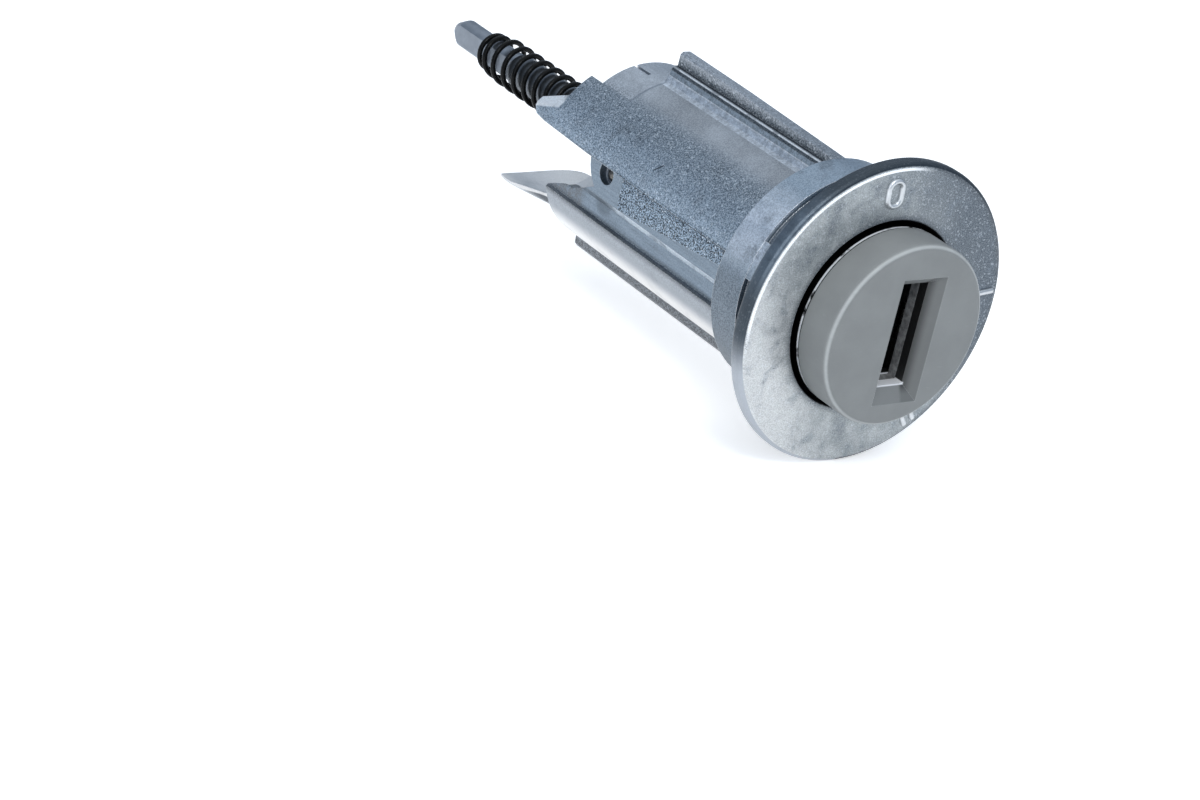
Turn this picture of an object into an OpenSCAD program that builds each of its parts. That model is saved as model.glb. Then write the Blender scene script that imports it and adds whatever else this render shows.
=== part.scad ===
// Ignition lock cylinder: a die-cast housing with a turning key plug and a sprung tail shaft.
// X runs right and Z up as the front is seen, and Y runs into the lock from the flange's face.

/* [Flange and collar] */
// Diameter of the front flange
flange_d = 32.6; // [31:0.2:38]
// Thickness of the flange at its rim
flange_t = 1.8; // [1.7:0.1:2.6]
// Radius of the rounded flange edges
flange_round = 0.6; // [0.2:0.1:0.8]
// Diameter of the collar that locates the lock in its column
collar_d = 25; // [24:0.1:27]
// Depth of the collar's rear end behind the flange's face
collar_end = 10; // [9:0.1:11.4]
// Length of the unbroken ring at the collar's rear end
collar_ring = 4; // [2:0.1:5]
// Depth of the relief between the collar's pads
pad_relief = 0.6; // [0.3:0.1:1]

/* [Barrel] */
// Diameter of the barrel behind the collar
barrel_d = 20.4; // [20.2:0.1:21.6]
// Depth of the barrel's rear rim
barrel_end = 41.4; // [40:0.1:44]
// Depth of the rear end of the inner tube that carries the plug
tube_end = 37; // [36.6:0.1:38.6]
// Wall of the skirt, wing and tongue behind the inner tube
skirt_wall = 1.2; // [1:0.1:1.5]
// Width of the upper and lower ribs
rib_w = 3; // [2.4:0.1:3.6]
// Height of the upper rib's foot above the barrel
top_rib_rise = 1.5; // [1:0.1:1.8]
// Width of the ridge on the upper rib
ridge_w = 1.5; // [1.2:0.1:2]
// Height of the ridge above the barrel at the collar
ridge_front = 2.2; // [2:0.1:2.4]
// Height of the ridge above the barrel at its rear end
ridge_rear = 3; // [2.6:0.1:3.4]
// Depth of the upper rib's rear end
top_rib_end = 36.5; // [34:0.5:40]
// Height of the lower rib below the barrel
low_rib_rise = 3.1; // [2:0.1:3.6]
// Depth of the lower rib's rear end
low_rib_end = 46; // [44:0.5:50]
// Drop of the belly below the barrel, on both sides of the lower rib
belly_drop = 1.2; // [0.8:0.1:1.5]
// Depth of the rear rim below the side channel
lower_rim = 43.8; // [42:0.1:45]
// Height of the wing's pad above the barrel
wing_rise = 0.35; // [0.2:0.05:0.6]
// Depth of the wing's shoulder
wing_shoulder = 43; // [42:0.1:44.5]
// Depth of the wing's tip
wing_tip = 47; // [45:0.1:50]
// Width of the tongue at the bottom
tongue_w = 11; // [9:0.1:12.4]
// Depth of the tongue's rounded end
tongue_end = 60; // [56:0.5:63]
// How far the rear rim stands inside the barrel's face
rim_step = 0.15; // [0.1:0.05:0.3]
// How far the tongue flares outside the barrel
tongue_flare = 0.7; // [0.3:0.05:1]

/* [Side channel] */
// Wall between the plug's bore and the floor of the side channel
tube_wall = 1.55; // [1.2:0.05:1.8]
// Height of the rail's flat face above the channel floor
rail_rise = 0.7; // [0.5:0.05:0.9]
// Height of the rail's upper edge above the axis
rail_top = 2.2; // [1.8:0.1:2.6]
// Drop of the rail's lower edge below the axis
rail_low = 1.8; // [1.5:0.1:2]
// Drop of the ledge below the rail, down to the channel floor
ledge_drop = 0.85; // [0.6:0.05:1.1]
// Drop of the channel floor's lower edge below the axis
channel_low = 4.5; // [4.1:0.1:4.7]
// Height of the rough pad on the rail
rail_pad_rise = 0.25; // [0.1:0.05:0.4]
// Depth where the rough pad starts
rail_pad_from = 13; // [11.5:0.5:16]
// Depth where the rough pad ends
rail_pad_to = 30.7; // [26:0.1:31]

/* [Plug] */
// Diameter of the plug's body
plug_d = 14; // [13.6:0.1:14.6]
// Radial running clearance of the plug in its bore
run_gap = 0.05; // [0.02:0.01:0.09]
// Diameter of the plug's head
head_d = 19.4; // [19:0.1:19.6]
// Radial gap round the plug's head
head_gap = 0.45; // [0.3:0.05:0.5]
// How far the head stands in front of the flange
head_front = 0.7; // [0.4:0.1:1]
// Depth of the head's rear face
head_back = 2.7; // [2.4:0.1:3.2]
// Axial gap behind the head
head_seat_gap = 0.25; // [0.2:0.05:0.4]
// Depth of the plug's rear face
plug_end = 36.2; // [35.8:0.1:36.5]
// Width of the keyway
keyway_w = 3; // [2.6:0.1:3.2]
// Height of the keyway
keyway_h = 10.8; // [10:0.1:11.2]
// Depth of the keyway's blind end
keyway_end = 30.5; // [30:0.1:32]
// Turn from locked to start, in degrees
plug_turn = 145; // [90:5:160]

/* [Wafers] */
// Thickness of a wafer
wafer_t = 1.2; // [1:0.05:1.4]
// Width of a wafer
wafer_w = 8; // [7.6:0.1:8.4]
// Distance from one wafer to the next
wafer_pitch = 3; // [2.7:0.05:3.1]
// Depth of the first wafer
wafer_first = 7; // [6.5:0.1:7.5]
// Clearance of a wafer in its slot
wafer_gap = 0.06; // [0.04:0.01:0.1]
// Slide of a wafer each way inside the plug
wafer_travel = 0.35; // [0.2:0.05:0.5]
// Width of the window for the key
window_w = 3.6; // [3.3:0.1:4]
// Height of the window for the key
window_h = 8.2; // [7.6:0.1:8.8]
// Length of the spring lug on a wafer's side
lug_len = 1.3; // [1.1:0.05:1.4]
// Height of the spring lug
lug_h = 1.2; // [1:0.1:1.4]
// Length of a wafer spring
wafer_spring_len = 2.7; // [2.3:0.1:2.9]
// Depth of the housing's grooves for the wafers
groove_depth = 1.4; // [1:0.1:1.6]

/* [Cap] */
// Diameter of the plastic cap
cap_d = 19.5; // [18.8:0.1:19.6]
// Thickness of the cap
cap_t = 4.23; // [4.1:0.01:5]
// Radius of the cap's rounded edge
cap_round = 0.6; // [0.3:0.1:0.8]
// Depth of the bevel round the key mouth
mouth_depth = 0.8; // [0.6:0.05:0.9]
// Reach of the key mouth to the left of the axis
mouth_left = 2; // [1.8:0.1:2.2]
// Reach of the key mouth to the right of the axis
mouth_right = 3.7; // [3.2:0.1:3.9]
// Reach of the key mouth above the axis
mouth_top = 6.2; // [6:0.1:6.6]
// Reach of the key mouth below the axis
mouth_low = 7.4; // [6.6:0.1:7.6]
// Reach of the throat to the left of the axis
throat_left = 1.5; // [1.5:0.05:1.6]
// Reach of the throat to the right of the axis
throat_right = 2; // [1.6:0.05:2]
// Reach of the throat above the axis
throat_top = 5.4; // [5.2:0.1:5.6]
// Reach of the throat below the axis
throat_low = 5.6; // [5.2:0.1:5.8]
// Distance of the key guide's front behind the cap's face
guide_depth = 1.9; // [1.7:0.05:2]
// Thickness of the metal key guide in the cap
guide_t = 1.05; // [0.9:0.05:1.1]
// Diameter of the pegs that hold the cap on the head
peg_d = 2; // [1.6:0.1:2.4]

/* [Shutter] */
// Thickness of the shutter's flap
flap_t = 0.35; // [0.25:0.05:0.4]
// Height of the shutter
flap_h = 10.2; // [9.8:0.1:10.3]
// Distance of the hinge from the axis
hinge_x = 2.75; // [2.7:0.05:2.85]
// Distance of the hinge behind the cap's face
hinge_depth = 3.63; // [3.6:0.01:3.7]
// Radius of the hinge knuckle
knuckle_r = 0.55; // [0.5:0.01:0.56]
// Diameter of the hinge pin
hinge_pin_d = 0.6; // [0.5:0.02:0.64]

/* [Retaining pin] */
// Diameter of the retaining pin
pin_d = 1.8; // [1.4:0.1:2]
// Depth of the retaining pin behind the flange's face
pin_at = 33.8; // [33.4:0.1:34]
// Clock position of the retaining pin, in degrees
pin_clock = -84; // [-88:1:-80]
// Diameter of the counterbore round the pin's head
pin_recess_d = 2.4; // [2.2:0.1:2.8]

/* [Tail] */
// Diameter of the tail shaft
tail_d = 3.3; // [3:0.1:3.6]
// Thickness of the tail shaft across its flats
tail_flats = 2.5; // [2.1:0.1:2.8]
// Depth of the tail shaft's tip
tail_end = 76.5; // [72:0.5:80]
// Diameter of the plug's rear boss
boss_d = 9.6; // [9:0.1:10.4]
// Depth of the rear boss's end face
boss_end = 41; // [40.4:0.1:42]
// Diameter of the tail shaft's shank in the boss
shank_d = 5; // [4.6:0.1:5.6]
// Diameter of the cross pin through boss and shank
cross_pin_d = 1.5; // [1.2:0.1:1.8]
// Outer diameter of the tail spring
tail_spring_d = 5.4; // [5.1:0.1:6]
// Wire diameter of the tail spring
tail_wire = 0.6; // [0.5:0.05:0.8]
// Depth of the tail spring's rear end
tail_spring_end = 70; // [64:0.5:71]

/* [Hidden] */
$fn = 96;

// Small lengths shared by several pieces
cut = 1;
fit_gap = 0.02;
seat_gap = 0.05;
wafer_count = 8;

// Housing
flange_r = flange_d / 2;
collar_r = collar_d / 2;
relief_r = collar_r - pad_relief;
ring_from = collar_end - collar_ring;
barrel_r = barrel_d / 2;
wing_r = barrel_r + wing_rise;
skirt_r = barrel_r - skirt_wall;
plug_r = plug_d / 2;
bore_r = plug_r + run_gap;
floor_x = bore_r + tube_wall;
rail_x = floor_x + rail_rise;
head_r = head_d / 2;
hole_r = head_r + head_gap;
hole_depth = head_back + head_seat_gap;
channel_start = collar_end + 0.3;
rail_end_low = rail_low + 0.4;
channel_slope = 0.6;
rear_r = barrel_r - rim_step;
rim_from = top_rib_end - 0.5;
nick_clock = -13.5;
nick_w = 0.4;
nick_from = barrel_end - 2.6;
nick_depth = 0.35;
wing_high = -38.5;
wing_low = -82;
wing_bevel_at = -65;
wing_bevel_turn = [-5.9, -42, 0];
lug_wall = 1;
lug_from = -128;
lug_to = -96;
lower_from = 108;
belly_from = lower_from + 3;
belly_low = 114;
belly_shift = belly_drop / (1 + cos(belly_low));
belly_r = barrel_r + belly_drop - belly_shift;
flare_start = 5;
sink = 0.5;
step = 0.05;
collar_pads = [[-80, -61], [-13, 13], [61, 80], [150, 210]];

// Wafers
wafer_r = plug_r - wafer_travel - wafer_gap;
slot_w = wafer_w + 2 * wafer_gap;
slot_t = wafer_t + 2 * wafer_gap;
groove_end = keyway_end + 0.5;
function wafer_at(i) = wafer_first + (i - 1) * wafer_pitch;
function wafer_side(i) = i % 2 == 0 ? 180 : 0;

// Cap and shutter
cap_r = cap_d / 2;
cap_front = -head_front - cap_t;
hinge_at = cap_front + hinge_depth;
hinge_pin_r = hinge_pin_d / 2;
flap_back = knuckle_r - 0.2;
flap_edge = keyway_w / 2 - 0.15;
guide_front = cap_front + guide_depth;
guide_back = guide_front + guide_t;
guide_left = 3.2;
guide_right = 4.2;
guide_half_h = 7;
pocket_left = flap_edge + 0.35;
pocket_right = hinge_x + knuckle_r + 0.25;
pocket_half_h = flap_h / 2 + 0.3;
flap_reach = hinge_x + flap_edge;
head_pocket_end = hinge_at + flap_reach + 0.4;
spring_bay = 2;
hinge_wire = 0.18;
hinge_pin_half = pocket_half_h + 0.7;
peg_x = 6.7;
peg_len = 2.2;

// Retaining pin
pin_r = pin_d / 2;
pin_top = rail_x - 0.45;
pin_dome = 0.5;
pin_tip = plug_r - 1.4;
track_r = pin_tip - 0.3;
track_w = pin_d + 0.4;
track_margin = asin((pin_r + 0.15) / pin_tip);

// Tail
tail_r = tail_d / 2;
shank_r = shank_d / 2;
shank_from = plug_end - 1;
cross_pin_at = (plug_end + boss_end) / 2;
tail_taper = 1.4;
tail_tip_r = tail_r * 0.55;
tail_coil_r = (tail_spring_d - tail_wire) / 2;
tail_grip_r = tail_r + fit_gap + tail_wire / 2;

// A point at a clock angle, seen from the front
function clock(a, r) = [r * sin(a), r * cos(a)];

// A pie slice from one clock angle to another
module slice(a0, a1, r) {
  steps = ceil((a1 - a0) / 20);
  polygon(concat([[0, 0]], [for (i = [0:steps]) clock(a0 + (a1 - a0) * i / steps, r)]));
}

// A flat sketch, X right and Y up, carried into the lock from one depth to another
module carry(from, to) {
  translate([0, from, 0]) rotate([-90, 0, 0]) mirror([0, 1, 0]) linear_extrude(to - from) children();
}

// A round bar along the lock's axis
module bar(from, to, r) {
  translate([0, from, 0]) rotate([-90, 0, 0]) cylinder(h = to - from, r = r);
}

// A turned shape, from a half profile of radius and depth
module turned(profile) {
  rotate([-90, 0, 0]) rotate_extrude() polygon(profile);
}

// A round bar that points outwards at a clock angle
module spoke(a, depth, r0, r1, r) {
  translate([0, depth, 0]) rotate([0, a, 0]) translate([0, 0, r0])
    cylinder(h = r1 - r0, r = r, $fn = 48);
}

// A sketch of depth along X and height along Y, pushed out of the left side between two distances
module from_left(x0, x1) {
  translate([-x0, 0, 0]) rotate([90, 0, -90]) mirror([1, 0, 0]) linear_extrude(x1 - x0) children();
}

// Points of a quarter round about a centre, from one angle to another
function quarter(c, r, a0) = [for (i = [0:4]) c + r * [cos(a0 + i * 22.5), sin(a0 + i * 22.5)]];

// A wire swept along places, each given as a centre and the direction across the wire
module wire(places, axis, r, sides) {
  last = len(places) - 1;
  points = [
    for (p = places, k = [0:sides - 1])
      p[0] + r * (cos(360 * k / sides) * p[1] + sin(360 * k / sides) * axis)
  ];
  skin = [
    for (i = [0:last - 1], k = [0:sides - 1])
      let (a = i * sides + k, b = i * sides + (k + 1) % sides)
      each [[a, b, a + sides], [b, b + sides, a + sides]]
  ];
  start = [[for (k = [sides - 1:-1:0]) k]];
  end = [[for (k = [0:sides - 1]) last * sides + k]];
  polyhedron(points, concat(skin, start, end));
}

// Places along a coil about Z: radius and height are given turn by turn
function coil(turns, steps, first, hand, radii, heights) = [
  for (i = [0:turns * steps])
    let (t = i / steps, a = first + hand * 360 * t, across = [cos(a), sin(a), 0])
    [lookup(t, radii) * across + [0, 0, lookup(t, heights)], across]
];

// Housing: flange, collar with pads, ribbed barrel, side channel, wing, skirt and tongue
module turned_housing() {
  rim = flange_r - flange_round;
  lip = flange_round / 4;
  turned(concat(
    [[bore_r, hole_depth], [hole_r, hole_depth], [hole_r, lip], [hole_r + lip, 0]],
    quarter([rim, flange_round], flange_round, -90),
    quarter([rim, flange_t - flange_round], flange_round, 0),
    [[relief_r, flange_t], [relief_r, ring_from], [collar_r, ring_from], [collar_r, collar_end]],
    [[barrel_r, collar_end], [barrel_r, rim_from], [rear_r, rim_from + 0.5], [rear_r, barrel_end]],
    [[skirt_r, barrel_end], [skirt_r, tube_end], [bore_r, tube_end]]
  ));
}

// The part of a ring between two clock angles
module arc_sketch(r0, r1, a0, a1) {
  intersection() {
    difference() {
      circle(r1);
      circle(r0);
    }
    slice(a0, a1, 2 * r1);
  }
}

module pads() {
  for (pad = collar_pads) {
    carry(flange_t - sink, ring_from + sink)
      arc_sketch(relief_r - sink, collar_r - step, pad[0], pad[1]);
  }
}

// A rib's section: drafted sides, a spread foot and chamfered corners
module rib_sketch(rise) {
  foot = barrel_r - sink;
  top = barrel_r + rise;
  half = rib_w / 2;
  polygon([
    [-half - 0.7, foot], [-half - 0.2, barrel_r + 0.4], [-half - 0.1, top - 0.4], [-half + 0.3, top],
    [half - 0.3, top], [half + 0.1, top - 0.4], [half + 0.2, barrel_r + 0.4], [half + 0.7, foot]
  ]);
}

// The ridge on the upper rib, which rises towards the rear
module ridge() {
  half = ridge_w / 2;
  top = barrel_r + ridge_rear;
  intersection() {
    carry(collar_end - sink, top_rib_end + step) polygon([
      [-half - 0.1, barrel_r], [-half, top - 0.3], [-half + 0.3, top],
      [half - 0.3, top], [half, top - 0.3], [half + 0.1, barrel_r]
    ]);
    translate([-ridge_w, 0, 0]) rotate([90, 0, 90]) linear_extrude(2 * ridge_w) polygon([
      [collar_end - cut, barrel_r - cut], [collar_end - cut, barrel_r + ridge_front],
      [collar_end, barrel_r + ridge_front], [top_rib_end + cut, top + 0.05],
      [top_rib_end + cut, barrel_r - cut]
    ]);
  }
}

module ribs() {
  difference() {
    union() {
      carry(collar_end - sink, top_rib_end) rib_sketch(top_rib_rise);
      ridge();
      carry(collar_end - sink, low_rib_end) mirror([0, 1]) rib_sketch(low_rib_rise);
    }
    turned([
      [collar_r - step, ring_from], [2 * collar_r, ring_from],
      [2 * collar_r, collar_end + step], [collar_r - step, collar_end + step]
    ]);
  }
}

// The wing: a raised pad on the upper left that runs on behind the rim to a stepped tip
module wing() {
  far = 2 * barrel_r;
  tip_low = wing_r * cos(72);
  tip_high = wing_r * cos(66.6);
  shoulder_high = wing_r * cos(56.7);
  bevel_foot = clock(wing_bevel_at, wing_r);
  shift = wing_rise / (1 - cos(wing_high - wing_low));
  difference() {
    intersection() {
      carry(collar_end - sink, wing_tip + cut) intersection() {
        arc_sketch(skirt_r + step, 2 * barrel_r, wing_low, wing_high);
        translate(clock(wing_low, shift)) circle(wing_r - shift);
      }
      from_left(cut, far) polygon([
        [0, 0], [top_rib_end, 0], [top_rib_end, rail_top], [wing_tip - 2.4, rail_top + 0.2],
        [wing_tip - 0.7, rail_top + 0.4], [wing_tip, tip_low], [wing_tip, tip_high],
        [wing_shoulder + 0.4, shoulder_high], [wing_shoulder, far], [0, far]
      ]);
    }
    translate([bevel_foot[0], wing_shoulder + 0.4, bevel_foot[1]]) rotate(wing_bevel_turn)
      translate([-wing_r, 0, 0]) cube([2 * wing_r, wing_r, wing_r]);
  }
}

// The lower half of the skirt stands further back, and a lug carries the channel floor to it
module lower_skirt() {
  carry(barrel_end - 2 * sink, lower_rim)
    arc_sketch(skirt_r + step, rear_r - step, lower_from, 360 - lower_from);
  end = tube_end - 2 * step;
  low = -rail_end_low - step;
  intersection() {
    carry(tube_end - 2 * sink, barrel_end - sink)
      arc_sketch(skirt_r - lug_wall, skirt_r + sink, lug_from, lug_to);
    from_left(cut, 2 * barrel_r) polygon([
      [end - 3, -rail_end_low + 1], [end + 0.5, low], [end + 2.9, low - 1.1], [end + 3.6, low - 1.1],
      [barrel_end, low - 1.3], [barrel_end, -barrel_r], [end - 3, -barrel_r]
    ]);
  }
}

// The belly: the barrel's lower side, fuller than a circle about the axis
module belly() {
  carry(collar_end - sink, lower_rim - step) intersection() {
    difference() {
      translate([0, -belly_shift]) circle(belly_r);
      circle(barrel_r - sink);
    }
    slice(belly_from, 360 - belly_from, 2 * barrel_r);
  }
}

// The tongue: a strip at the bottom that flares out and thins towards its rounded end
module tongue() {
  half = tongue_w / 2;
  tip_r = barrel_r + tongue_flare;
  flare_from = barrel_end + flare_start;
  intersection() {
    turned([
      [skirt_r + 2 * step, barrel_end - sink], [rear_r - 2 * step, barrel_end - sink],
      [rear_r - 2 * step, flare_from], [tip_r, tongue_end - half], [tip_r, tongue_end + cut],
      [tip_r - 0.15, tongue_end + cut], [tip_r - 0.3, tongue_end - half], [skirt_r + 2 * step, flare_from]
    ]);
    translate([0, 0, -2 * barrel_r]) linear_extrude(2 * barrel_r) union() {
      translate([0, tongue_end - half]) circle(half);
      translate([-half, 0]) square([tongue_w, tongue_end - half]);
    }
  }
}

// The rough pad that stands on the rail, narrower at its front
module rail_pad() {
  margin = 0.5;
  from_left(rail_x - sink, rail_x + rail_pad_rise) polygon([
    [rail_pad_from, rail_top - margin], [rail_pad_to, rail_top - margin],
    [rail_pad_to, -rail_low + 0.1], [rail_pad_from, 0]
  ]);
}

// What is cut from the left side: the channel beside the rail, and all behind the rail's rounded end
module side_channel() {
  far = 2 * barrel_r;
  end = tube_end - step;
  round_r = rail_top + rail_end_low;
  carry(channel_start, wing_tip + cut) polygon([
    [-far, rail_top], [-rail_x, rail_top], [-rail_x, -rail_low],
    [-floor_x, -rail_low - ledge_drop], [-floor_x, -channel_low],
    [-far, -channel_low - channel_slope * (far - floor_x)]
  ]);
  from_left(bore_r + sink, far) polygon(concat(
    [for (i = [0:5]) [end - round_r + round_r * cos(i * 10), rail_top - round_r * sin(i * 10)]],
    [[end + 0.5, -rail_end_low], [end + 2.9, -rail_end_low - 1.1], [end + 3.6, -rail_end_low - 1.1]],
    [[barrel_end, -rail_end_low - 1.3], [lower_rim, -channel_low]],
    [[wing_tip + cut, -channel_low], [wing_tip + cut, rail_top]]
  ));
}

// The short nick across the top of the rear rim
module rim_nick() {
  rotate([0, nick_clock, 0]) translate([-nick_w / 2, nick_from, barrel_r - rim_step - nick_depth])
    cube([nick_w, barrel_end - nick_from + cut, 2 * nick_depth]);
}

// The grooves above and below the bore that take the wafers when no key holds them in
module wafer_grooves() {
  half = wafer_w / 2 + 0.3;
  for (up = [0, 1]) {
    mirror([0, 0, up]) carry(hole_depth - cut, groove_end) intersection() {
      circle(bore_r + groove_depth);
      translate([-half, 0]) square([2 * half, bore_r + groove_depth]);
    }
  }
}

module housing() {
  color([0.62, 0.65, 0.68]) difference() {
    union() {
      difference() {
        union() {
          turned_housing();
          ribs();
          wing();
          lower_skirt();
          belly();
          tongue();
        }
        side_channel();
      }
      rail_pad();
      pads();
    }
    wafer_grooves();
    rim_nick();
    spoke(pin_clock, pin_at, plug_r - cut, rail_x + cut, pin_r + fit_gap);
    spoke(pin_clock, pin_at, pin_top - pin_dome, rail_x + cut, pin_recess_d / 2);
  }
}

// Rotor: the key plug with its head, keyway, wafer slots, pin track and rear boss
module wafer_slot(i) {
  pocket_h = lug_h / 2 + wafer_travel + seat_gap;
  spring_h = lug_h / 2 + wafer_spring_len + 2 * seat_gap;
  translate([0, wafer_at(i), 0]) rotate([0, wafer_side(i), 0]) {
    translate([-slot_w / 2, -slot_t / 2, -plug_r - cut]) cube([slot_w, slot_t, 2 * (plug_r + cut)]);
    translate([0, -slot_t / 2, -spring_h])
      cube([wafer_w / 2 + lug_len + wafer_gap, slot_t, pocket_h + spring_h]);
  }
}

module pin_track() {
  carry(pin_at - track_w / 2, pin_at + track_w / 2) intersection() {
    difference() {
      circle(plug_r + cut);
      circle(track_r);
    }
    slice(pin_clock - plug_turn - track_margin, pin_clock + track_margin, 2 * plug_r);
  }
}

module keyway() {
  translate([-keyway_w / 2, -head_front - cut, -keyway_h / 2])
    cube([keyway_w, keyway_end + head_front + cut, keyway_h]);
  translate([0, -head_front - cut, -pocket_half_h])
    cube([pocket_right, head_pocket_end + head_front + cut, 2 * pocket_half_h]);
}

module pegs(r, len) {
  for (side = [-1, 1]) {
    translate([side * peg_x, -head_front - cut / 4, 0])
      rotate([-90, 0, 0]) cylinder(h = len + cut / 4, r = r, $fn = 48);
  }
}

module rotor() {
  color([0.72, 0.73, 0.74]) difference() {
    union() {
      bar(-head_front, head_back, head_r);
      bar(head_back - cut, plug_end, plug_r);
      bar(plug_end - cut, boss_end, boss_d / 2);
    }
    keyway();
    pegs(peg_d / 2 + fit_gap, peg_len + 0.3);
    for (i = [1:wafer_count]) wafer_slot(i);
    pin_track();
    bar(shank_from, boss_end + cut, shank_r + fit_gap);
    translate([-boss_d, cross_pin_at, 0]) rotate([0, 90, 0])
      cylinder(h = 2 * boss_d, r = cross_pin_d / 2 + fit_gap, $fn = 48);
  }
}

// Cap: the grey moulding on the plug's head, with the bevelled key mouth
module cap_body() {
  turned(concat(
    [[0, -head_front], [0, cap_front]],
    quarter([cap_r - cap_round, cap_front + cap_round], cap_round, -90),
    [[cap_r, -head_front]]
  ));
}

module mouth() {
  bevel_end = cap_front + mouth_depth;
  front = cap_front - cut / 10;
  grow = cut / 10 / mouth_depth;
  left = mouth_left + (mouth_left - throat_left) * grow;
  right = mouth_right + (mouth_right - throat_right) * grow;
  top = mouth_top + (mouth_top - throat_top) * grow;
  low = mouth_low + (mouth_low - throat_low) * grow;
  polyhedron(
    [
      [-left, front, -low], [right, front, -low], [right, front, top], [-left, front, top],
      [-throat_left, bevel_end, -throat_low], [throat_right, bevel_end, -throat_low],
      [throat_right, bevel_end, throat_top], [-throat_left, bevel_end, throat_top]
    ],
    [[3, 2, 1, 0], [4, 5, 6, 7], [0, 1, 5, 4], [1, 2, 6, 5], [2, 3, 7, 6], [3, 0, 4, 7]]
  );
  throat(bevel_end - cut / 10, guide_front + guide_t / 2);
}

// The straight slot for the key, from one depth to another
module throat(from, to) {
  translate([-throat_left, from, -throat_low])
    cube([throat_left + throat_right, to - from, throat_low + throat_top]);
}

// The outline of the key guide, grown by a gap
module guide_block(gap) {
  translate([-guide_left - gap, guide_front - gap, -guide_half_h - gap])
    cube([guide_left + guide_right + 2 * gap, guide_t + 2 * gap, 2 * (guide_half_h + gap)]);
}

module plug_cap() {
  color([0.53, 0.54, 0.55]) {
    difference() {
      cap_body();
      mouth();
      guide_block(fit_gap);
      translate([-pocket_left, guide_back - guide_t / 2, -pocket_half_h])
        cube([pocket_left + pocket_right, -head_front - guide_back + guide_t / 2 + cut, 2 * pocket_half_h]);
      translate([hinge_x, hinge_at, -hinge_pin_half - seat_gap])
        cylinder(h = 2 * (hinge_pin_half + seat_gap), r = hinge_pin_r + fit_gap, $fn = 32);
    }
    pegs(peg_d / 2, peg_len);
  }
}

// Key guide: the metal plate moulded into the cap, with the slot for the blade
module key_guide() {
  color([0.7, 0.71, 0.72]) difference() {
    guide_block(0);
    throat(guide_front - cut, guide_back + cut);
  }
}

// Shutter: the sprung flap that closes the keyway, its pin and its spring
module shutter() {
  color([0.78, 0.79, 0.8]) translate([hinge_x, hinge_at, 0]) difference() {
    union() {
      translate([-flap_reach, flap_back - flap_t, -flap_h / 2]) cube([flap_reach, flap_t, flap_h]);
      translate([0, 0, -flap_h / 2]) cylinder(h = flap_h, r = knuckle_r, $fn = 48);
    }
    translate([0, 0, -flap_h / 2 - cut])
      cylinder(h = flap_h + 2 * cut, r = hinge_pin_r + seat_gap, $fn = 32);
    translate([-knuckle_r - 0.2, -2 * knuckle_r, -spring_bay])
      cube([4 * knuckle_r, 4 * knuckle_r, 2 * spring_bay]);
  }
}

module shutter_pin() {
  color([0.6, 0.61, 0.62]) translate([hinge_x, hinge_at, -hinge_pin_half])
    cylinder(h = 2 * hinge_pin_half, r = hinge_pin_r, $fn = 32);
}

module shutter_spring() {
  turns = 4;
  half = spring_bay - hinge_wire - seat_gap;
  coil_r = flap_back + seat_gap + hinge_wire / 2;
  turn = coil(turns, 12, 90, -1, [[0, coil_r], [turns, coil_r]], [[0, half], [turns, -half]]);
  leg = knuckle_r + 0.9;
  start = turn[0];
  end = turn[len(turn) - 1];
  places = concat(
    [[start[0] + [-leg, 0, 0], start[1]]],
    turn,
    [[end[0] + [pocket_right - hinge_x - seat_gap - hinge_wire, 0, 0], end[1]]]
  );
  color([0.35, 0.36, 0.38]) translate([hinge_x, hinge_at, 0])
    wire(places, [0, 0, 1], hinge_wire / 2, 5);
}

// Wafers: brass plates that slide in the plug, each with its spring
module wafer(i) {
  color([0.8, 0.66, 0.36]) translate([0, wafer_at(i), 0]) rotate([0, wafer_side(i), 0])
    carry(-wafer_t / 2, wafer_t / 2) difference() {
      union() {
        intersection() {
          circle(wafer_r);
          square([wafer_w, 2 * plug_r], center = true);
        }
        translate([0, -lug_h / 2]) square([wafer_w / 2 + lug_len, lug_h]);
      }
      square([window_w, window_h], center = true);
    }
}

module wafer_spring(i) {
  turns = 5;
  wire_d = 0.2;
  coil_r = (wafer_t - wire_d) / 2 - seat_gap;
  low = -lug_h / 2 - seat_gap - wafer_spring_len + wire_d;
  high = -lug_h / 2 - seat_gap - wire_d / 2;
  places = coil(
    turns, 8, 0, 1, [[0, coil_r], [turns, coil_r]],
    [[0, low], [1, low + wire_d], [turns - 1, high - wire_d], [turns, high]]
  );
  color([0.5, 0.51, 0.52]) translate([0, wafer_at(i), 0]) rotate([0, wafer_side(i), 0])
    translate([(wafer_w + lug_len) / 2, 0, 0]) wire(places, [0, 0, 1], wire_d / 2, 5);
}

// Retaining pin: keeps the plug in the housing and stops its turn
module retaining_pin() {
  color([0.45, 0.42, 0.38]) {
    spoke(pin_clock, pin_at, pin_tip, pin_top - pin_dome, pin_r);
    translate([0, pin_at, 0]) rotate([0, pin_clock, 0]) translate([0, 0, pin_top - pin_dome])
      rotate_extrude($fn = 48) intersection() {
        square([pin_r, pin_dome]);
        dome_r = (pin_r * pin_r + pin_dome * pin_dome) / (2 * pin_dome);
        translate([0, pin_dome - dome_r]) circle(dome_r);
      }
  }
}

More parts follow.
